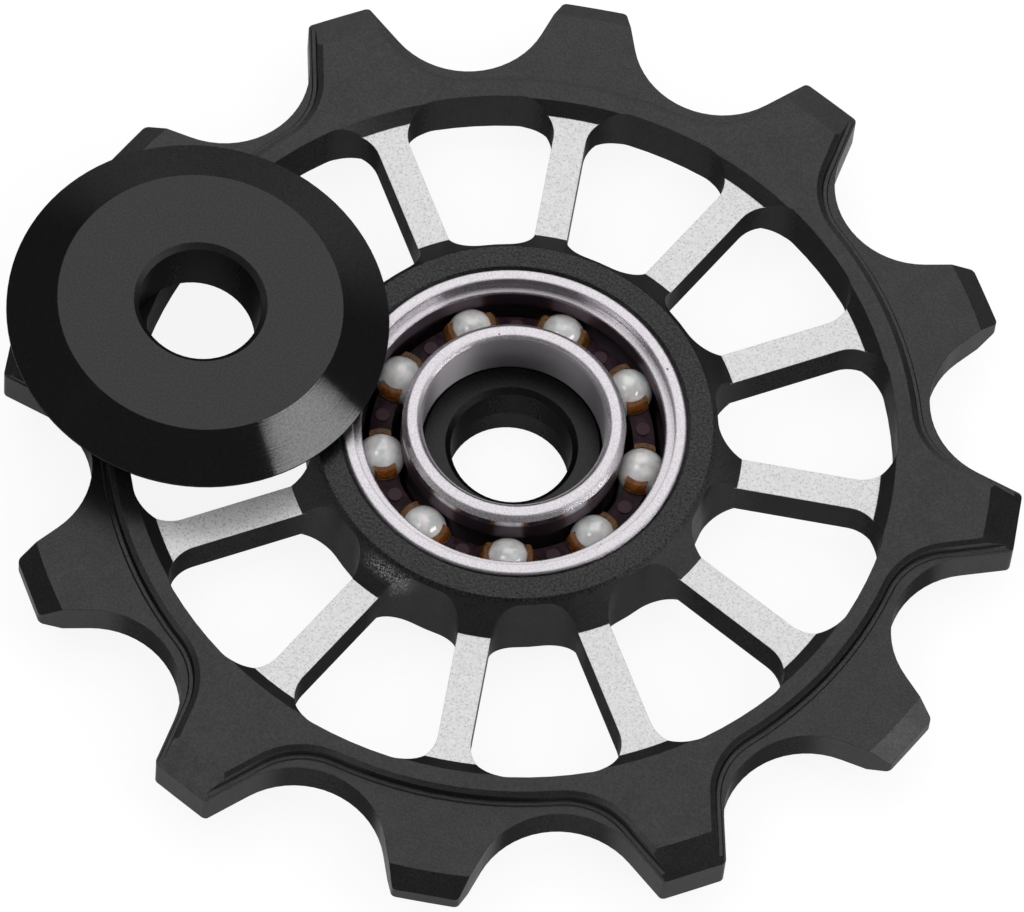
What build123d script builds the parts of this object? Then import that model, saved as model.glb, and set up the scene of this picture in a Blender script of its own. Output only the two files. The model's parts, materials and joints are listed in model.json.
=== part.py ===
from build123d import *

import math
import os

# Derailleur jockey wheel: a spoked pulley with wide and narrow teeth in turn, an open ball bearing,
# a bush cover in the bearing's rear side, and the matching front cover lying loose on the wheel.
# Millimetres and degrees. The axle is Z, +Z is the open side, the origin is the middle of the bearing.

# Chain that runs on the wheel
CHAIN_PITCH = 12.7
ROLLER_DIAMETER = 7.75

# Teeth, in pairs of one wide and one narrow
TOOTH_PAIRS = 6
TIP_ADDENDUM = 0.55
TIP_WIDTH = 3.2
TIP_CORNER_RADIUS = 0.3
FLANK_ANGLE = 18.5
WIDE_THICKNESS = 3.0
WIDE_TIP_THICKNESS = 1.92
WIDE_BEVEL_LENGTH = 1.55
NARROW_THICKNESS = 1.96
NARROW_TIP_THICKNESS = 0.82
NARROW_BEVEL_LENGTH = 1.0

# Step from the raised land down to the narrow plate: a bevelled edge, a steep wall, a ledge and a low foot
STEP_BEVEL_RUN = 0.26
STEP_BEVEL_DROP = 0.08
STEP_WALL_RUN = 0.09
STEP_LEDGE = 0.18
STEP_FOOT_RUN = 0.05
STEP_FOOT_HEIGHT = 0.1
STEP_FILLET = 4.0
ROOT_LEDGE = 0.42
FLANK_LEDGE = 0.1

# Rim, spokes and hub
RIM_DEPTH = 1.76
RIM_CONE_RUN = 0.7
RIM_CONE_INSET = 0.08
SPOKE_THICKNESS = 2.1
SPOKE_WIDTH = 1.62
WINDOW_OUTER_FILLET = 1.8
WINDOW_INNER_FILLET = 1.5
WINDOW_HUB_GAP = 0.25
HUB_WALL = 1.25
HUB_CONE_RUN = 1.54
SEAT_CHAMFER = 0.12

# Ball bearing
BEARING_OUTSIDE = 17.0
BEARING_SECTION = 4.0
BEARING_WIDTH = 5.0
BALL_COUNT = 9
BALL_DIAMETER = 2.381
FIRST_BALL_ANGLE = -2.4
RACE_CONFORMITY = 0.52
INNER_SHOULDER = 1.0
OUTER_SHOULDER = 1.06
OUTER_RING_CHAMFER = 0.12
INNER_RING_CHAMFER = 0.26
SHOULDER_CHAMFER = 0.25
SEAL_RIM = 0.59
SEAL_DEPTH = 0.58
SEAL_EDGE = 0.06

# Crown cage, open to the front
CAGE_WIDTH = 1.06
CAGE_BACK = 0.5
CAGE_PRONG = 0.2
CAGE_LAND_HEIGHT = 0.2
PRONG_HEIGHT = 0.8
LAND_MARK_DIAMETER = 0.7
LAND_MARK_HEIGHT = 0.08

# Bush covers
BOLT_BORE = 6.0
BOLT_BORE_CHAMFER = 0.27
COVER_THICKNESS = 1.6
COVER_STANDOFF = 0.15
COVER_EDGE = 0.1
COVER_CONE_RUN = 2.4
COVER_LAP = 0.9
SHOULDER_WALL = 0.8
SPIGOT_CHAMFER = 0.15
SPIGOT_GAP = 0.2

# Where the loose front cover lies: its angle round the wheel, and how far inside the rim its middle is
LOOSE_ANGLE = 173.0
LOOSE_INSET = 2.4

# Clearances, each on the radius or on one side
SEAT_CLEARANCE = 0.01
RACE_CLEARANCE = 0.03
POCKET_CLEARANCE = 0.05
SPIGOT_CLEARANCE = 0.02
REST_CLEARANCE = 0.02

# Overlap between stretches of one solid before they are joined
JOIN = 0.2

# Radii and heights that follow from the sizes above
TOOTH_COUNT = 2 * TOOTH_PAIRS
TOOTH_STEP = 360 / TOOTH_COUNT
PAIR_STEP = 360 / TOOTH_PAIRS
PITCH_R = CHAIN_PITCH / 2 / math.sin(math.radians(TOOTH_STEP / 2))
ROOT_R = PITCH_R - ROLLER_DIAMETER / 2
TIP_R = PITCH_R + TIP_ADDENDUM
TIP_CORNER_R = math.hypot(TIP_R, TIP_WIDTH / 2)
STEP_WALL_OUT = STEP_BEVEL_RUN + STEP_WALL_RUN
STEP_FOOT_OUT = STEP_WALL_OUT + STEP_LEDGE
STEP_RUN = STEP_FOOT_OUT + STEP_FOOT_RUN
LAND_TOP_R = ROOT_R - ROOT_LEDGE - STEP_RUN
LAND_Z = WIDE_THICKNESS / 2
PLATE_Z = NARROW_THICKNESS / 2
LEDGE_Z = PLATE_Z + STEP_FOOT_HEIGHT
SPOKE_Z = SPOKE_THICKNESS / 2
BEARING_Z = BEARING_WIDTH / 2
WINDOW_OUTER_R = ROOT_R - RIM_DEPTH
RIM_TOP_R = WINDOW_OUTER_R - RIM_CONE_INSET
RIM_FOOT_R = RIM_TOP_R - RIM_CONE_RUN
RIM_JOIN_R = (WINDOW_OUTER_R + LAND_TOP_R) / 2
BEARING_R = BEARING_OUTSIDE / 2
BEARING_BORE_R = BEARING_R - BEARING_SECTION
SEAT_R = BEARING_R + SEAT_CLEARANCE
HUB_TOP_R = SEAT_R + HUB_WALL
HUB_FOOT_R = HUB_TOP_R + HUB_CONE_RUN
WINDOW_INNER_R = HUB_TOP_R + WINDOW_HUB_GAP
BALL_R = BALL_DIAMETER / 2
BALL_PITCH_R = BEARING_R - BEARING_SECTION / 2
BALL_STEP = 360 / BALL_COUNT
RACE_R = RACE_CONFORMITY * BALL_DIAMETER
RACE_REACH = BALL_R + RACE_CLEARANCE
INNER_SHOULDER_R = BEARING_BORE_R + INNER_SHOULDER
OUTER_SHOULDER_R = BEARING_R - OUTER_SHOULDER
POCKET_R = BALL_R + POCKET_CLEARANCE
BORE_R = BOLT_BORE / 2
SPIGOT_R = BEARING_BORE_R - SPIGOT_CLEARANCE
SPIGOT_LENGTH = BEARING_Z - SPIGOT_GAP / 2
COVER_R = BEARING_R + COVER_LAP
COVER_FACE_R = COVER_R - COVER_CONE_RUN
COVER_LENGTH = SPIGOT_LENGTH + COVER_THICKNESS


def turn(point, angle):
    """A plan point turned about the axle."""
    c = math.cos(math.radians(angle))
    s = math.sin(math.radians(angle))
    return (c * point[0] - s * point[1], s * point[0] + c * point[1])


def flip(point):
    """A plan point mirrored across the X axis."""
    return (point[0], -point[1])


def turned_copies(solid, count, first=0.0):
    """Copies of a solid, evenly spaced about the axle."""
    return [Rot(0, 0, first + k * 360 / count) * solid for k in range(count)]


def ring(corners):
    """A solid of revolution about the axle, from the corners of its section as (radius, height)."""
    section = Polyline(*[(r, 0, z) for r, z in corners], close=True)
    return revolve(Face(section), Axis.Z)


def both_sides(upper):
    """A section's corners from its upper half, listed from the inside out, with the mirrored lower half."""
    return upper + [(r, -z) for r, z in reversed(upper)]


def prism(face, half_height):
    """A plan outline given an even thickness about the middle plane."""
    return extrude(face, amount=half_height, both=True)


def tooth_outline():
    """The wheel's outline: flat tips, straight flanks and a round roller seat tangent to both flanks."""
    half = TOOTH_STEP / 2
    flank = math.radians(FLANK_ANGLE + half)
    tip = turn((TIP_R, -TIP_WIDTH / 2), half)
    seat_radius = (tip[1] * math.cos(flank) - (tip[0] - ROOT_R) * math.sin(flank)) / (1 - math.sin(flank))
    tangent = (ROOT_R + seat_radius * (1 - math.sin(flank)), seat_radius * math.cos(flank))
    edges = []
    for k in range(TOOTH_COUNT):
        gap = (k + 0.5) * TOOTH_STEP
        start = turn(flip(tangent), gap)
        end = turn(tangent, gap)
        edges.append(Line(turn(flip(tip), gap), start))
        edges.append(ThreePointArc(start, turn((ROOT_R, 0), gap), end))
        edges.append(Line(end, turn(tip, gap)))
        edges.append(Line(turn(tip, gap), turn(flip(tip), gap + TOOTH_STEP)))
    face = Face(Wire(edges))
    tips = [v for v in face.vertices() if math.hypot(v.X, v.Y) > PITCH_R]
    return face.fillet_2d(TIP_CORNER_RADIUS, tips)


def land_outline(out):
    """The land's outline, set out evenly: a disc with a pad up each wide tooth, filleted into it."""
    radius = LAND_TOP_R + out
    inset = FLANK_LEDGE + STEP_RUN - out
    fillet_radius = STEP_FILLET - out
    slope = math.radians(FLANK_ANGLE)
    reach = TIP_CORNER_R + JOIN
    inset_half = TIP_WIDTH / 2 - inset / math.cos(slope)
    # The fillet's centre lies off the pad's flank by the fillet's radius, and off the disc by the same
    offset = inset_half + fillet_radius / math.cos(slope) + TIP_R * math.tan(slope)
    far = radius + fillet_radius
    root = math.sqrt(far ** 2 - (offset * math.cos(slope)) ** 2)
    x = offset * math.sin(slope) * math.cos(slope) + root * math.cos(slope)
    centre = (x, offset - x * math.tan(slope))
    on_flank = (centre[0] - fillet_radius * math.sin(slope), centre[1] - fillet_radius * math.cos(slope))
    on_disc = (centre[0] * radius / far, centre[1] * radius / far)
    towards = math.atan2(on_flank[1] + on_disc[1] - 2 * centre[1], on_flank[0] + on_disc[0] - 2 * centre[0])
    middle = (centre[0] + fillet_radius * math.cos(towards), centre[1] + fillet_radius * math.sin(towards))
    corner = (reach, inset_half - (reach - TIP_R) * math.tan(slope))
    edges = []
    for k in range(TOOTH_PAIRS):
        pad = k * PAIR_STEP
        before = turn(flip(on_flank), pad)
        edges.append(ThreePointArc(turn(flip(on_disc), pad), turn(flip(middle), pad), before))
        edges.append(Line(before, turn(flip(corner), pad)))
        edges.append(Line(turn(flip(corner), pad), turn(corner, pad)))
        edges.append(Line(turn(corner, pad), turn(on_flank, pad)))
        edges.append(ThreePointArc(turn(on_flank, pad), turn(middle, pad), turn(on_disc, pad)))
        after = turn(flip(on_disc), pad + PAIR_STEP)
        edges.append(ThreePointArc(turn(on_disc, pad), turn((radius, 0), pad + PAIR_STEP / 2), after))
    return Face(Wire(edges))


def tip_form(half_height, tip_thickness, bevel_length):
    """A disc whose rim is bevelled on both faces, to shape the tooth tips."""
    fall = (half_height - tip_thickness / 2) / bevel_length
    edge_r = TIP_CORNER_R + JOIN
    edge_z = tip_thickness / 2 - fall * (edge_r - TIP_R)
    return ring(both_sides([(0, half_height), (TIP_R - bevel_length, half_height), (edge_r, edge_z)]))


def window():
    """One opening between two spokes, cut right through, with rounded corners."""
    half = TOOTH_STEP / 2
    inner_angle = half - math.degrees(math.asin(SPOKE_WIDTH / 2 / WINDOW_INNER_R))
    outer_angle = half - math.degrees(math.asin(SPOKE_WIDTH / 2 / WINDOW_OUTER_R))
    inner = turn((WINDOW_INNER_R, 0), inner_angle)
    outer = turn((WINDOW_OUTER_R, 0), outer_angle)
    edges = [
        Line(flip(inner), flip(outer)),
        ThreePointArc(flip(outer), (WINDOW_OUTER_R, 0), outer),
        Line(outer, inner),
        ThreePointArc(inner, (WINDOW_INNER_R, 0), flip(inner)),
    ]
    face = Face(Wire(edges))
    middle_r = (WINDOW_INNER_R + WINDOW_OUTER_R) / 2
    corners = [v for v in face.vertices() if math.hypot(v.X, v.Y) > middle_r]
    face = face.fillet_2d(WINDOW_OUTER_FILLET, corners)
    corners = [v for v in face.vertices() if abs(math.hypot(v.X, v.Y) - WINDOW_INNER_R) < JOIN]
    face = face.fillet_2d(WINDOW_INNER_FILLET, corners)
    return prism(face, BEARING_Z + JOIN)


def tier(low, low_z, high, high_z):
    """One sloped stretch of the step between two outlines, on both faces."""
    upper = loft([Pos(0, 0, low_z) * low, Pos(0, 0, high_z) * high], ruled=True)
    return prism(low, low_z) + upper + mirror(upper, Plane.XY)


def raised_land():
    """The land's two-stepped pad on both faces, before it is trimmed to the teeth."""
    foot = tier(land_outline(STEP_RUN), PLATE_Z, land_outline(STEP_FOOT_OUT), LEDGE_Z)
    edge = land_outline(STEP_BEVEL_RUN)
    edge_z = LAND_Z - STEP_BEVEL_DROP
    wall = tier(land_outline(STEP_WALL_OUT), LEDGE_Z, edge, edge_z)
    bevel = tier(edge, edge_z, land_outline(0), LAND_Z)
    return foot + wall + bevel


def pulley_wheel():
    """The one-piece wheel: a turned hub, web and rim, a toothed plate and the raised land on both faces."""
    core = ring(both_sides([
        (SEAT_R, BEARING_Z - SEAT_CHAMFER),
        (SEAT_R + SEAT_CHAMFER, BEARING_Z),
        (HUB_TOP_R, BEARING_Z),
        (HUB_FOOT_R, SPOKE_Z),
        (RIM_FOOT_R, SPOKE_Z),
        (RIM_TOP_R, LAND_Z),
        (RIM_JOIN_R + JOIN, LAND_Z),
    ]))
    teeth = tooth_outline()
    plate = prism(teeth, PLATE_Z) & tip_form(PLATE_Z, NARROW_TIP_THICKNESS, NARROW_BEVEL_LENGTH)
    trim = prism(teeth, LAND_Z) & tip_form(LAND_Z, WIDE_TIP_THICKNESS, WIDE_BEVEL_LENGTH)
    wide_plate = prism(land_outline(STEP_RUN + FLANK_LEDGE + JOIN), PLATE_Z)
    land = (raised_land() + wide_plate) & trim
    rim = plate + land - Cylinder(RIM_JOIN_R, 2 * BEARING_WIDTH)
    return core + rim - turned_copies(window(), TOOTH_COUNT, TOOTH_STEP / 2)


def bearing_outer_ring():
    """Outer ring: a step for a seal in each mouth and a deep groove for the balls."""
    seat_z = BEARING_Z - SEAL_DEPTH
    body = ring(both_sides([
        (OUTER_SHOULDER_R, seat_z - SEAL_EDGE),
        (OUTER_SHOULDER_R + SEAL_EDGE, seat_z),
        (BEARING_R - SEAL_RIM, seat_z),
        (BEARING_R - SEAL_RIM, BEARING_Z),
        (BEARING_R - OUTER_RING_CHAMFER, BEARING_Z),
        (BEARING_R, BEARING_Z - OUTER_RING_CHAMFER),
    ]))
    return body - Torus(BALL_PITCH_R + RACE_REACH - RACE_R, RACE_R)


def bearing_inner_ring():
    """Inner ring: chamfered at the bore and the shoulders, with a deep groove for the balls."""
    body = ring(both_sides([
        (BEARING_BORE_R, BEARING_Z - INNER_RING_CHAMFER),
        (BEARING_BORE_R + INNER_RING_CHAMFER, BEARING_Z),
        (INNER_SHOULDER_R - SHOULDER_CHAMFER, BEARING_Z),
        (INNER_SHOULDER_R, BEARING_Z - SHOULDER_CHAMFER),
    ]))
    return body - Torus(BALL_PITCH_R - RACE_REACH + RACE_R, RACE_R)


def ball(radius):
    """A sphere on the ball circle, at the X axis."""
    return Pos(BALL_PITCH_R, 0, 0) * Sphere(radius)


def ball_cage():
    """One-piece crown cage: a ring behind the balls, flat lands between them, and prongs round each ball."""
    inner_r = BALL_PITCH_R - CAGE_WIDTH / 2
    outer_r = BALL_PITCH_R + CAGE_WIDTH / 2
    back = -POCKET_R - CAGE_BACK
    body = ring([(inner_r, back), (outer_r, back), (outer_r, CAGE_LAND_HEIGHT), (inner_r, CAGE_LAND_HEIGHT)])
    band = ring([(inner_r, 0), (outer_r, 0), (outer_r, PRONG_HEIGHT), (inner_r, PRONG_HEIGHT)])
    prongs = turned_copies(band & ball(POCKET_R + CAGE_PRONG), BALL_COUNT, FIRST_BALL_ANGLE)
    pockets = turned_copies(ball(POCKET_R), BALL_COUNT, FIRST_BALL_ANGLE)
    mark = Pos(BALL_PITCH_R, 0, CAGE_LAND_HEIGHT) * Cylinder(LAND_MARK_DIAMETER / 2, 2 * LAND_MARK_HEIGHT)
    marks = turned_copies(mark, BALL_COUNT, FIRST_BALL_ANGLE + BALL_STEP / 2)
    return body + prongs - pockets + marks


def cover():
    """A bush cover standing on its spigot's end: spigot, seating shoulder and bevelled flange."""
    shoulder_r = BEARING_BORE_R + SHOULDER_WALL
    underside = SPIGOT_LENGTH + COVER_STANDOFF
    return ring([
        (BORE_R, BOLT_BORE_CHAMFER),
        (BORE_R + BOLT_BORE_CHAMFER, 0),
        (SPIGOT_R - SPIGOT_CHAMFER, 0),
        (SPIGOT_R, SPIGOT_CHAMFER),
        (SPIGOT_R, SPIGOT_LENGTH),
        (shoulder_r, SPIGOT_LENGTH),
        (shoulder_r, underside),
        (COVER_R, underside),
        (COVER_R, underside + COVER_EDGE),
        (COVER_FACE_R, COVER_LENGTH),
        (BORE_R + BOLT_BORE_CHAMFER, COVER_LENGTH),
        (BORE_R, COVER_LENGTH - BOLT_BORE_CHAMFER),
    ])


def loose_place():
    """Where the loose cover comes to rest: its spigot's end leans on the rim's land and on a spoke."""
    middle_r = RIM_TOP_R - LOOSE_INSET
    foot_r = SPIGOT_R - SPIGOT_CHAMFER
    on_land = (RIM_TOP_R ** 2 + middle_r ** 2 - foot_r ** 2) / (2 * middle_r)
    on_spoke = middle_r - foot_r
    lean = math.atan2(LAND_Z - SPOKE_Z, on_land - on_spoke)
    height = SPOKE_Z + REST_CLEARANCE + (middle_r - on_spoke) * math.tan(lean)
    return Rot(0, 0, LOOSE_ANGLE) * Pos(middle_r, 0, height) * Rot(0, -math.degrees(lean), 0)


def main():
    nodes = {
        "pulley_wheel": pulley_wheel(),
        "bearing_outer_ring": bearing_outer_ring(),
        "bearing_inner_ring": bearing_inner_ring(),
        "ball_cage": ball_cage(),
        "rear_cover": Pos(0, 0, -SPIGOT_GAP / 2) * Rot(180, 0, 0) * cover(),
        "front_cover": loose_place() * cover(),
    }
    for k, one_ball in enumerate(turned_copies(ball(BALL_R), BALL_COUNT, FIRST_BALL_ANGLE)):
        nodes[f"ball_{k + 1}"] = one_ball
    os.makedirs("parts", exist_ok=True)
    for name, shape in nodes.items():
        export_step(shape, f"parts/{name}.step")


main()
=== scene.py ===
import json
import math

import bpy
from mathutils import Matrix, Quaternion, Vector


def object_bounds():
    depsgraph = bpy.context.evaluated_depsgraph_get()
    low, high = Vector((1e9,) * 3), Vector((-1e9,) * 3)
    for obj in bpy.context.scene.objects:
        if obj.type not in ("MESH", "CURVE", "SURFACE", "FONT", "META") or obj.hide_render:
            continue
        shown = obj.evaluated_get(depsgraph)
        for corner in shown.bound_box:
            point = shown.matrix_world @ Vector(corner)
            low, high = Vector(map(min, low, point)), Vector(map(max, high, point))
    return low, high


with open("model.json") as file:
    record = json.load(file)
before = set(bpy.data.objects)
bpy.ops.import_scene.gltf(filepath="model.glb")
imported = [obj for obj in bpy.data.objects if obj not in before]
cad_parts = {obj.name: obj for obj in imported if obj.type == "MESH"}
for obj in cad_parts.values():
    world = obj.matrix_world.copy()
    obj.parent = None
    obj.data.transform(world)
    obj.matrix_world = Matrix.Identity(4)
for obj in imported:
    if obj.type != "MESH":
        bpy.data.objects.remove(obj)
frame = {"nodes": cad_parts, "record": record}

# Derailleur jockey wheel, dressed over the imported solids. The scene is in metres. The heights and radii that
# say where a surface changes are in millimetres, in the part's own frame.

cad_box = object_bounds()
MM = 0.001

# Camera, with its angles in degrees
LENS = 336.3
AIM = Vector((0.115, -0.627, 0.0)) * MM
DISTANCE = 469.3 * MM
AZIMUTH = 3.945
ELEVATION = 61.90
ROLL = 6.40
CLIP_NEAR = 10 * MM
CLIP_FAR = 20.0

# Studio: the lamps' distances, the floor, its share of plain white, and the levels of the room and its walls
LAMP_DISTANCE = 0.6
FILL_DISTANCE = 1.2
FLOOR_Z = cad_box[0].z - 0.02 * MM
FLOOR_HALF = 3.0
FLOOR_TONE = 0.86
WHITE_SEEN = 0.88
WHITE_MIRRORED = 0.4
ROOM_LEVEL = 0.1
FRONT_WALL = 1.1
BACK_WALL = 0.55

# Where the wheel is bare metal: the flat faces of the spokes, by height and radius
SPOKE_FACE_Z = 1.05
BARE_BAND = 0.012
BARE_INNER_R = 11.15
BARE_OUTER_R = 18.2

# Hub's edge and top, where the blasting is coarser, and the teeth's tips
HUB_R = 10.3
HUB_TOP_Z = 2.4
TIP_R = 22.5

# A patch on the hub's shoulder that is rubbed to bare specks: its middle, its reach along it and its width
RUBBED_AT = (-4.6, -9.1, 1.9)
RUBBED_REACH = 2.0
RUBBED_R = 10.3
RUBBED_WIDTH = 0.45

# Edge of the covers' flat face, and the height above which the rear cover's bush is painted darker, as shade
# in its recess inside the bearing
COVER_FACE_R = 7.0
RECESS_SHADE_Z = -2.3

# Bearing rings' faces and bore, where the painted shade on their walls round the balls ends, the cage's marks,
# and the prongs' foot
RING_FACE_Z = 2.43
RING_BORE_R = 4.6
RACEWAY_SHADE_Z = 2.0
RACEWAY_SHADE_R = 5.0
MARK_Z = 0.26
PRONG_Z = 0.31

# Aluminium: the darkest and lightest grey of each finish, its pits, and its sheen at a low angle
ANODISED = (0.040, 0.058)
COARSE_ANODISED = (0.012, 0.074)
# The bush's painted shade inside the bearing: a darker copy of the anodising
RECESS_SHADED_ANODISED = (0.028, 0.044)
BARE_METAL = (0.44, 0.66)
BARE_PIT = 0.34
HUB_SHEEN = 0.4
WEB_SHEEN = 0.22
TIP_SHEEN = 0.55
COVER_SHEEN = 0.22

# Steel, with its dark specks, the ground bore's grey, darkened with painted shade, and how much of it shows
# there, and the painted shade on the walls round the balls
STEEL_DARK = (0.60, 0.56, 0.60, 1)
STEEL_PALE = (0.86, 0.83, 0.865, 1)
STEEL_SPECK = (0.05, 0.04, 0.05, 1)
GROUND_BORE_SHADE = (0.40, 0.375, 0.40, 1)
BORE_SHADE_SHARE = 0.85
RACEWAY_SHADE = (0.17, 0.13, 0.155, 1)

# Balls and cage; the cage body's dark brown is partly its own colour and partly painted shade between the
# rings
CERAMIC_DARK = (0.37, 0.37, 0.367, 1)
CERAMIC_PALE = (0.53, 0.53, 0.525, 1)
AMBER_DARK = (0.44, 0.165, 0.03, 1)
AMBER_PALE = (0.64, 0.30, 0.08, 1)
SHADED_BODY_DARK = (0.008, 0.004, 0.006, 1)
SHADED_BODY_PALE = (0.022, 0.011, 0.015, 1)
MARK_COLOUR = (0.034, 0.020, 0.024, 1)

# Depth of each surface's relief, and the radius of the broken edges
BLASTED_DEPTH = 0.0035 * MM
BARE_DEPTH = 0.0008 * MM
CONE_DEPTH = 0.0004 * MM
TURNED_DEPTH = 0.0006 * MM
POLISHED_DEPTH = 0.001 * MM
MOULDED_DEPTH = 0.003 * MM
ALUMINIUM_EDGE = 0.05 * MM
RING_EDGE = 0.12 * MM


# Scene


def place_camera():
    """A camera at the photograph's angle, with the photograph's slight roll."""
    data = bpy.data.cameras.new("camera")
    data.lens = LENS
    data.clip_start = CLIP_NEAR
    data.clip_end = CLIP_FAR
    camera = bpy.data.objects.new("camera", data)
    bpy.context.collection.objects.link(camera)
    azimuth = math.radians(AZIMUTH)
    elevation = math.radians(ELEVATION)
    level = math.cos(elevation)
    back = Vector((math.sin(azimuth) * level, -math.cos(azimuth) * level, math.sin(elevation)))
    camera.rotation_mode = "QUATERNION"
    camera.rotation_quaternion = (-back).to_track_quat("-Z", "Y") @ Quaternion((0, 0, 1), math.radians(ROLL))
    camera.location = AIM + back * DISTANCE
    bpy.context.scene.camera = camera


def soft_box(name, stands, along, width, height, radiance, distance=LAMP_DISTANCE, mirrored=True):
    """A rectangular lamp facing the object, with its width laid along a direction."""
    data = bpy.data.lights.new(name, "AREA")
    data.shape = "RECTANGLE"
    data.size = width
    data.size_y = height
    data.energy = radiance * math.pi * width * height
    lamp = bpy.data.objects.new(name, data)
    bpy.context.collection.objects.link(lamp)
    out = Vector(stands).normalized()
    across = Vector(along) - out * out.dot(Vector(along))
    across.normalize()
    turn = Matrix((across, out.cross(across), out)).transposed().to_4x4()
    lamp.matrix_world = Matrix.Translation(out * distance) @ turn
    lamp.visible_camera = False
    lamp.visible_glossy = mirrored


def light_studio():
    """A tall panel behind, a small one at the left, a strip at the right, and a fill that isn't mirrored."""
    soft_box("back_panel", (-0.075, 0.68, 0.73), (1, 0, 0), width=0.5, height=0.74, radiance=1.15)
    soft_box("left_panel", (-0.385, -0.14, 0.91), (0, 1, 0), width=0.18, height=0.18, radiance=2.2)
    soft_box("right_strip", (0.782, -0.158, 0.594), (0.238, 0.487, -0.209),
             width=0.37, height=0.14, radiance=4.8)
    soft_box("fill", (0.1, -0.25, 1.0), (1, 0, 0), width=1.6, height=1.6, radiance=2.45,
             distance=FILL_DISTANCE, mirrored=False)


# Shader building


def feed(tree, socket, value):
    """Links an input to another node's socket, or sets it to a number or a colour."""
    if isinstance(value, bpy.types.NodeSocket):
        tree.links.new(value, socket)
    else:
        socket.default_value = value


def add(tree, kind, inputs=None, **settings):
    """A new shader node with its settings, and its inputs linked or set."""
    made = tree.nodes.new(kind)
    for name, value in settings.items():
        setattr(made, name, value)
    for key, value in (inputs or {}).items():
        feed(tree, made.inputs[key], value)
    return made


def math_node(tree, operation, *values):
    """The result of one sum on numbers or sockets."""
    inputs = dict(enumerate(values))
    return add(tree, "ShaderNodeMath", inputs, operation=operation).outputs[0]


def spread(tree, value, low, high, to_low=0.0, to_high=1.0):
    """A value moved smoothly from one range to another."""
    inputs = {"Value": value, "From Min": low, "From Max": high, "To Min": to_low, "To Max": to_high}
    return add(tree, "ShaderNodeMapRange", inputs, interpolation_type="SMOOTHSTEP").outputs["Result"]


def noise(tree, vector, scale, detail=3.0, rough=0.55):
    """Even noise, in features per millimetre."""
    inputs = {"Vector": vector, "Scale": scale, "Detail": detail, "Roughness": rough}
    return add(tree, "ShaderNodeTexNoise", inputs).outputs["Fac"]


def specks(tree, vector, scale, size, share):
    """Scattered round specks, in cells per millimetre, of which only a share holds one."""
    cells = add(tree, "ShaderNodeTexVoronoi", {"Vector": vector, "Scale": scale}).outputs
    chance = add(tree, "ShaderNodeSeparateColor", {0: cells["Color"]}).outputs["Red"]
    dot = spread(tree, cells["Distance"], 0.5 * size * scale, size * scale, 1.0, 0.0)
    return math_node(tree, "MULTIPLY", dot, math_node(tree, "LESS_THAN", chance, share))


def blend_colours(tree, share, first, second):
    """One colour going over into another."""
    mixed = add(tree, "ShaderNodeMix", data_type="RGBA")
    for key, value in {"Factor": share, "A": first, "B": second}.items():
        feed(tree, next(s for s in mixed.inputs if s.name == key and s.enabled), value)
    return next(s for s in mixed.outputs if s.enabled)


def blend_values(tree, share, first, second):
    """One number going over into another."""
    inputs = {"Value": share, "To Min": first, "To Max": second}
    return add(tree, "ShaderNodeMapRange", inputs).outputs["Result"]


def bump(tree, height, depth, normal=None):
    """A surface normal raised by a height map."""
    inputs = {"Height": height, "Distance": depth}
    if normal is not None:
        inputs["Normal"] = normal
    return add(tree, "ShaderNodeBump", inputs).outputs["Normal"]


def broken_edges(tree, size):
    """A surface normal that rounds the sharp edges off."""
    return add(tree, "ShaderNodeBevel", {"Radius": size}, samples=4).outputs["Normal"]


def start(name, place=None):
    """A new material with its shader, and the object's own coordinates in millimetres about a place."""
    material = bpy.data.materials.new(name)
    material.use_nodes = True
    tree = material.node_tree
    shader = tree.nodes["Principled BSDF"]
    origin, axis = place or (Vector((0, 0, 0)), Vector((0, 0, 1)))
    turn = Vector((0, 0, 1)).rotation_difference(axis).to_euler()
    own = add(tree, "ShaderNodeTexCoord").outputs["Object"]
    inputs = {"Vector": own, "Location": origin, "Rotation": turn, "Scale": (MM, MM, MM)}
    local = add(tree, "ShaderNodeMapping", inputs, vector_type="TEXTURE").outputs["Vector"]
    return material, tree, shader, local


def radius_and_height(tree, local):
    """Distance from the axle, and height along it."""
    flat = add(tree, "ShaderNodeVectorMath", {0: local, 1: (1, 1, 0)}, operation="MULTIPLY").outputs
    radius = add(tree, "ShaderNodeVectorMath", {0: flat["Vector"]}, operation="LENGTH").outputs["Value"]
    height = add(tree, "ShaderNodeSeparateXYZ", {0: local}).outputs["Z"]
    return radius, height


def link(tree, socket, shader, name):
    """Links a socket to a shader's named input."""
    tree.links.new(socket, shader.inputs[name])


def grey(level):
    """A grey as a colour."""
    return (level, level, level, 1)


# Materials


def blasted_grain(tree, local):
    """The fine grain that blasting leaves."""
    return noise(tree, local, scale=9.0, detail=4.0, rough=0.6)


def black_tone(tree, grain, tones):
    """Colour of black anodising, going with its grain."""
    low, high = tones
    return blend_colours(tree, spread(tree, grain, 0.3, 0.72), grey(low), grey(high))


def rubbed_share(tree, local, radius):
    """Share of bare metal where handling has rubbed the hub's shoulder: fine specks that thin out."""
    away = add(tree, "ShaderNodeVectorMath", {0: local, 1: RUBBED_AT}, operation="DISTANCE").outputs["Value"]
    aside = math_node(tree, "ABSOLUTE", math_node(tree, "SUBTRACT", radius, RUBBED_R))
    near = spread(tree, away, 0.2 * RUBBED_REACH, RUBBED_REACH, 1.0, 0.0)
    along = spread(tree, aside, 0.3 * RUBBED_WIDTH, RUBBED_WIDTH, 1.0, 0.0)
    fine = spread(tree, noise(tree, local, scale=11.0, detail=5.0, rough=0.8), 0.45, 0.68)
    return math_node(tree, "MULTIPLY", fine, math_node(tree, "MULTIPLY", near, along))


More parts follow.
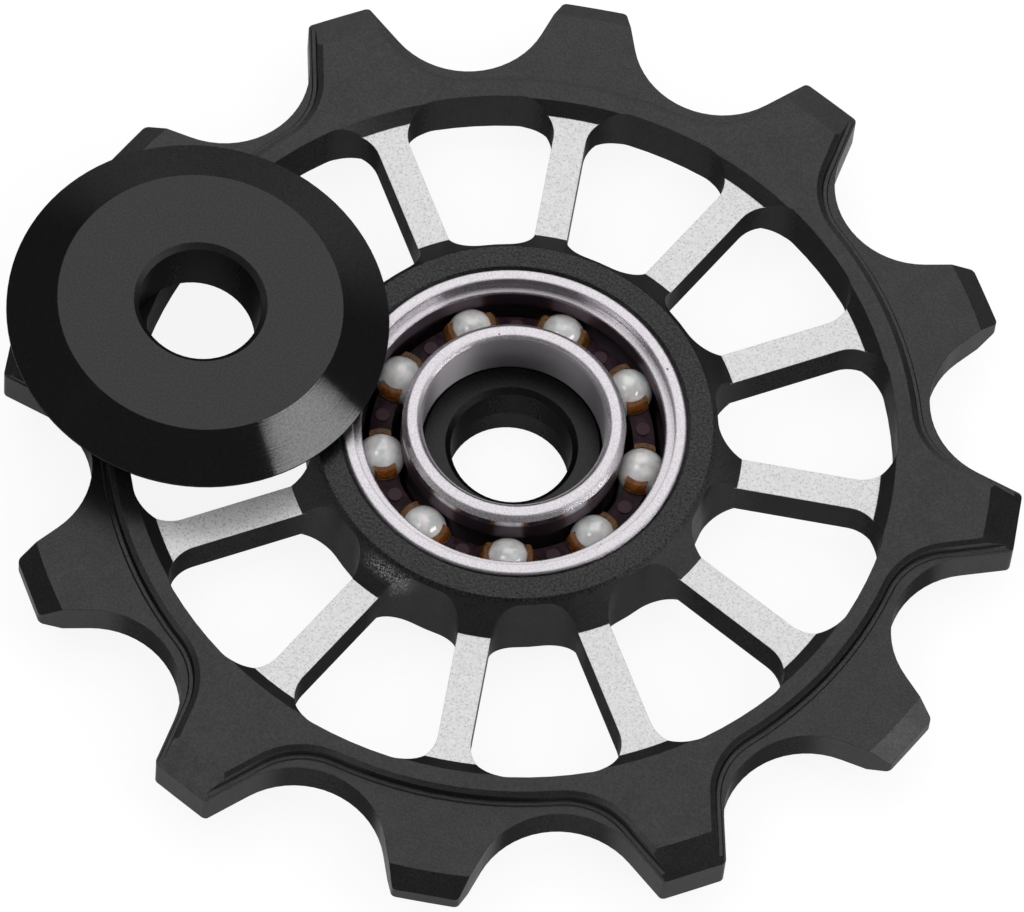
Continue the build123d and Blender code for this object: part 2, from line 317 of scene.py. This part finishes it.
def spoke_share(tree, radius, height):
    """Which surface is a spoke's bare face."""
    on_face = math_node(tree, "COMPARE", math_node(tree, "ABSOLUTE", height), SPOKE_FACE_Z, BARE_BAND)
    inside = math_node(tree, "LESS_THAN", radius, BARE_OUTER_R)
    outside = math_node(tree, "GREATER_THAN", radius, BARE_INNER_R)
    return math_node(tree, "MULTIPLY", on_face, math_node(tree, "MULTIPLY", inside, outside))


def anodised_wheel():
    """Fine blasted black anodising, coarser on the hub, with the spokes' faces cut back to bare metal."""
    material, tree, shader, local = start("anodised_wheel")
    radius, height = radius_and_height(tree, local)
    grain = blasted_grain(tree, local)
    coarse = noise(tree, local, scale=8.0, detail=6.0, rough=0.8)
    cloud = noise(tree, local, scale=0.9)
    bare = math_node(tree, "MAXIMUM", spoke_share(tree, radius, height), rubbed_share(tree, local, radius))
    hub = spread(tree, radius, HUB_R - 0.3, HUB_R + 0.3, 1.0, 0.0)
    top = spread(tree, math_node(tree, "ABSOLUTE", height), HUB_TOP_Z - 0.2, HUB_TOP_Z)
    plain = black_tone(tree, grain, ANODISED)
    rough = black_tone(tree, coarse, COARSE_ANODISED)
    black = blend_colours(tree, math_node(tree, "MULTIPLY", hub, top), plain, rough)
    dull, bright = BARE_METAL
    silver = blend_colours(tree, spread(tree, grain, 0.25, 0.75), grey(dull), grey(bright))
    pits = specks(tree, local, scale=1.5, size=0.07, share=0.25)
    silver = blend_colours(tree, pits, silver, grey(BARE_PIT))
    link(tree, blend_colours(tree, bare, black, silver), shader, "Base Color")
    link(tree, blend_values(tree, bare, 0.92, 0.55), shader, "Metallic")
    sheen = spread(tree, radius, HUB_R + 0.7, HUB_R + 2.7, HUB_SHEEN, WEB_SHEEN)
    sheen = math_node(tree, "MAXIMUM", sheen, spread(tree, radius, TIP_R - 2, TIP_R, 0.0, TIP_SHEEN))
    link(tree, sheen, shader, "Specular Tint")
    black_gloss = spread(tree, cloud, 0.3, 0.7, 0.31, 0.37)
    bare_gloss = spread(tree, grain, 0.3, 0.7, 0.26, 0.36)
    link(tree, blend_values(tree, bare, black_gloss, bare_gloss), shader, "Roughness")
    depth = blend_values(tree, bare, BLASTED_DEPTH, BARE_DEPTH)
    link(tree, bump(tree, grain, depth, broken_edges(tree, ALUMINIUM_EDGE)), shader, "Normal")
    return material


def anodised_cover(name, place, recess_shaded=False):
    """Turned and black anodised: a satin face with fine rings, and a bright turned cone round it."""
    material, tree, shader, local = start(name, place)
    radius, height = radius_and_height(tree, local)
    grain = blasted_grain(tree, local)
    line = add(tree, "ShaderNodeCombineXYZ", {"X": radius}).outputs["Vector"]
    rings = noise(tree, line, scale=11.0, detail=2.0)
    on_cone = spread(tree, radius, COVER_FACE_R - 0.02, COVER_FACE_R + 0.02)
    black = black_tone(tree, grain, ANODISED)
    # Painted shade: the part of the bush that stands inside the bearing is darkened, as its recess is shaded
    if recess_shaded:
        bush_shade_mask = spread(tree, height, RECESS_SHADE_Z - 0.1, RECESS_SHADE_Z + 0.1)
        black = blend_colours(tree, bush_shade_mask, black, black_tone(tree, grain, RECESS_SHADED_ANODISED))
    link(tree, black, shader, "Base Color")
    shader.inputs["Metallic"].default_value = 0.95
    shader.inputs["Specular Tint"].default_value = grey(COVER_SHEEN)
    face_gloss = spread(tree, grain, 0.3, 0.7, 0.31, 0.39)
    cone_gloss = spread(tree, rings, 0.3, 0.7, 0.06, 0.1)
    link(tree, blend_values(tree, on_cone, face_gloss, cone_gloss), shader, "Roughness")
    depth = blend_values(tree, on_cone, BLASTED_DEPTH, CONE_DEPTH)
    fine = bump(tree, grain, depth, broken_edges(tree, ALUMINIUM_EDGE))
    link(tree, bump(tree, rings, TURNED_DEPTH, fine), shader, "Normal")
    return material


def bearing_steel():
    """Steel with a faint lilac cast: lapped faces, a ground bore painted darker as shade, and painted shade on
    the walls round the balls.
    """
    material, tree, shader, local = start("bearing_steel")
    radius, height = radius_and_height(tree, local)
    grain = noise(tree, local, scale=13.0, detail=4.0, rough=0.7)
    colour = blend_colours(tree, spread(tree, grain, 0.3, 0.68), STEEL_DARK, STEEL_PALE)
    colour = blend_colours(tree, specks(tree, local, scale=1.2, size=0.08, share=0.3), colour, STEEL_SPECK)
    off_middle = math_node(tree, "ABSOLUTE", height)
    # Painted shade: the ring walls round the balls, deep inside the bearing, are darkened
    raceway_shade_mask = spread(tree, off_middle, RACEWAY_SHADE_Z - 0.3, RACEWAY_SHADE_Z, 1.0, 0.0)
    raceway_shade_mask = math_node(tree, "MULTIPLY", raceway_shade_mask, math_node(tree, "GREATER_THAN", radius, RACEWAY_SHADE_R))
    # The ground bore's grey: partly its duller finish, partly painted shade inside the bore
    bore = math_node(tree, "LESS_THAN", radius, RING_BORE_R)
    colour = blend_colours(tree, math_node(tree, "MULTIPLY", bore, BORE_SHADE_SHARE), colour, GROUND_BORE_SHADE)
    link(tree, blend_colours(tree, raceway_shade_mask, colour, RACEWAY_SHADE), shader, "Base Color")
    shader.inputs["Metallic"].default_value = 1.0
    lapped = spread(tree, off_middle, RING_FACE_Z - 0.02, RING_FACE_Z + 0.02)
    gloss = blend_values(tree, bore, blend_values(tree, lapped, 0.2, 0.37), 0.62)
    gloss = blend_values(tree, raceway_shade_mask, gloss, 0.36)
    uneven = spread(tree, grain, 0.3, 0.7, -0.03, 0.03)
    link(tree, math_node(tree, "ADD", gloss, uneven), shader, "Roughness")
    link(tree, blend_values(tree, lapped, 0.97, 0.0), shader, "Anisotropic")
    shader.inputs["Anisotropic Rotation"].default_value = 0.25
    round_axle = add(tree, "ShaderNodeTangent", direction_type="RADIAL", axis="Z").outputs["Tangent"]
    link(tree, round_axle, shader, "Tangent")
    line = add(tree, "ShaderNodeCombineXYZ", {"X": radius, "Y": height}).outputs["Vector"]
    fine = bump(tree, grain, POLISHED_DEPTH, broken_edges(tree, RING_EDGE))
    turned = noise(tree, line, scale=14.0, detail=2.0)
    link(tree, bump(tree, turned, POLISHED_DEPTH, fine), shader, "Normal")
    return material


def ball_ceramic():
    """Milky white ceramic with a faint cloudiness under a polished skin."""
    material, tree, shader, local = start("milky_ceramic")
    cloud = noise(tree, local, scale=1.6, detail=4.0)
    colour = blend_colours(tree, spread(tree, cloud, 0.3, 0.7), CERAMIC_DARK, CERAMIC_PALE)
    link(tree, colour, shader, "Base Color")
    link(tree, spread(tree, cloud, 0.35, 0.65, 0.1, 0.18), shader, "Roughness")
    shader.inputs["IOR"].default_value = 2.1
    shader.inputs["Subsurface Weight"].default_value = 0.3
    shader.inputs["Subsurface Scale"].default_value = 0.4 * MM
    link(tree, bump(tree, noise(tree, local, scale=6.0), POLISHED_DEPTH), shader, "Normal")
    return material


def cage_polymer():
    """Moulded cage: clear amber where the prongs are thin, dark brown in the body, partly its own colour and
    partly painted shade between the rings, paler on its marks.
    """
    material, tree, shader, local = start("amber_polymer")
    height = radius_and_height(tree, local)[1]
    cloud = noise(tree, local, scale=2.4, detail=4.0)
    mottled = spread(tree, cloud, 0.3, 0.7)
    amber = blend_colours(tree, mottled, AMBER_DARK, AMBER_PALE)
    # Painted shade: the body is near black, partly the thick polymer's own colour and partly the shade between
    # the rings
    shaded_body = blend_colours(tree, mottled, SHADED_BODY_DARK, SHADED_BODY_PALE)
    mark = spread(tree, height, MARK_Z - 0.01, MARK_Z + 0.01)
    shaded_body = blend_colours(tree, mark, shaded_body, MARK_COLOUR)
    prong = spread(tree, height, PRONG_Z - 0.02, PRONG_Z + 0.04)
    link(tree, blend_colours(tree, prong, shaded_body, amber), shader, "Base Color")
    link(tree, math_node(tree, "MULTIPLY", prong, 0.9), shader, "Transmission Weight")
    link(tree, spread(tree, cloud, 0.3, 0.7, 0.2, 0.32), shader, "Roughness")
    link(tree, bump(tree, noise(tree, local, scale=10.0), MOULDED_DEPTH), shader, "Normal")
    shader.inputs["Specular IOR Level"].default_value = 0.15
    shader.inputs["IOR"].default_value = 1.3
    return material


def floor_paint():
    """A pale floor: the camera and reflections see it near white, and it keeps the object's shadow."""
    material = bpy.data.materials.new("floor_paint")
    material.use_nodes = True
    tree = material.node_tree
    tree.nodes.remove(tree.nodes["Principled BSDF"])
    path = add(tree, "ShaderNodeLightPath").outputs
    seen = math_node(tree, "MAXIMUM", path["Is Camera Ray"], path["Is Transmission Ray"])
    seen = math_node(tree, "MULTIPLY", seen, WHITE_SEEN)
    mirrored = math_node(tree, "MULTIPLY", path["Is Glossy Ray"], WHITE_MIRRORED)
    share = math_node(tree, "MAXIMUM", seen, mirrored)
    paint = add(tree, "ShaderNodeBsdfDiffuse", {"Color": grey(FLOOR_TONE)}).outputs[0]
    white = add(tree, "ShaderNodeEmission", {"Color": grey(1.0), "Strength": 1.0}).outputs[0]
    mixed = add(tree, "ShaderNodeMixShader", {0: share, 1: paint, 2: white}).outputs[0]
    tree.links.new(mixed, tree.nodes["Material Output"].inputs["Surface"])
    return material


def lay_floor():
    """A wide plain floor under the object, which isn't part of it."""
    data = bpy.data.meshes.new("floor")
    signs = [(-1, -1), (1, -1), (1, 1), (-1, 1)]
    corners = [(x * FLOOR_HALF, y * FLOOR_HALF, FLOOR_Z) for x, y in signs]
    data.from_pydata(corners, [], [(0, 1, 2, 3)])
    data.materials.append(floor_paint())
    floor = bpy.data.objects.new("floor", data)
    bpy.context.collection.objects.link(floor)


def set_world():
    """A dim room with pale walls low down, dimmer behind, and white where the camera sees past the floor."""
    world = bpy.data.worlds.new("studio")
    world.use_nodes = True
    tree = world.node_tree
    tree.nodes.clear()
    direction = add(tree, "ShaderNodeTexCoord").outputs["Generated"]
    parts = add(tree, "ShaderNodeSeparateXYZ", {0: direction}).outputs
    walls = spread(tree, parts["Y"], 0.2, 0.45, FRONT_WALL, BACK_WALL)
    low = spread(tree, parts["Z"], 0.08, 0.36, 1.0, 0.0)
    level = math_node(tree, "MULTIPLY_ADD", walls, low, ROOM_LEVEL)
    path = add(tree, "ShaderNodeLightPath").outputs
    room = add(tree, "ShaderNodeBackground", {"Color": grey(1.0), "Strength": level}).outputs[0]
    white = add(tree, "ShaderNodeBackground", {"Color": grey(1.0), "Strength": 1.0}).outputs[0]
    mixed = add(tree, "ShaderNodeMixShader", {0: path["Is Camera Ray"], 1: room, 2: white}).outputs[0]
    output = add(tree, "ShaderNodeOutputWorld")
    tree.links.new(mixed, output.inputs["Surface"])
    bpy.context.scene.world = world


# Dressing


def dress(node, material):
    """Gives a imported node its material."""
    object_data = frame["nodes"][node].data
    object_data.materials.clear()
    object_data.materials.append(material)


def bore_place(name):
    """Where a stated bore is, and its axis."""
    mount = next(m for m in frame["record"]["mounts"] if m["name"] == name)
    return Vector(mount["pos_m"]), Vector(mount["axis"])


def main():
    """Sets up the studio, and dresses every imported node."""
    bpy.context.scene.view_settings.view_transform = "Standard"
    place_camera()
    light_studio()
    lay_floor()
    set_world()
    dress("pulley_wheel", anodised_wheel())
    dress("front_cover", anodised_cover("turned_front_cover", bore_place("front_cover_bore")))
    dress("rear_cover", anodised_cover("turned_rear_cover", None, recess_shaded=True))
    steel = bearing_steel()
    dress("bearing_outer_ring", steel)
    dress("bearing_inner_ring", steel)
    dress("ball_cage", cage_polymer())
    ceramic = ball_ceramic()
    for node in frame["nodes"]:
        if node.startswith("ball_") and node != "ball_cage":
            dress(node, ceramic)


main()
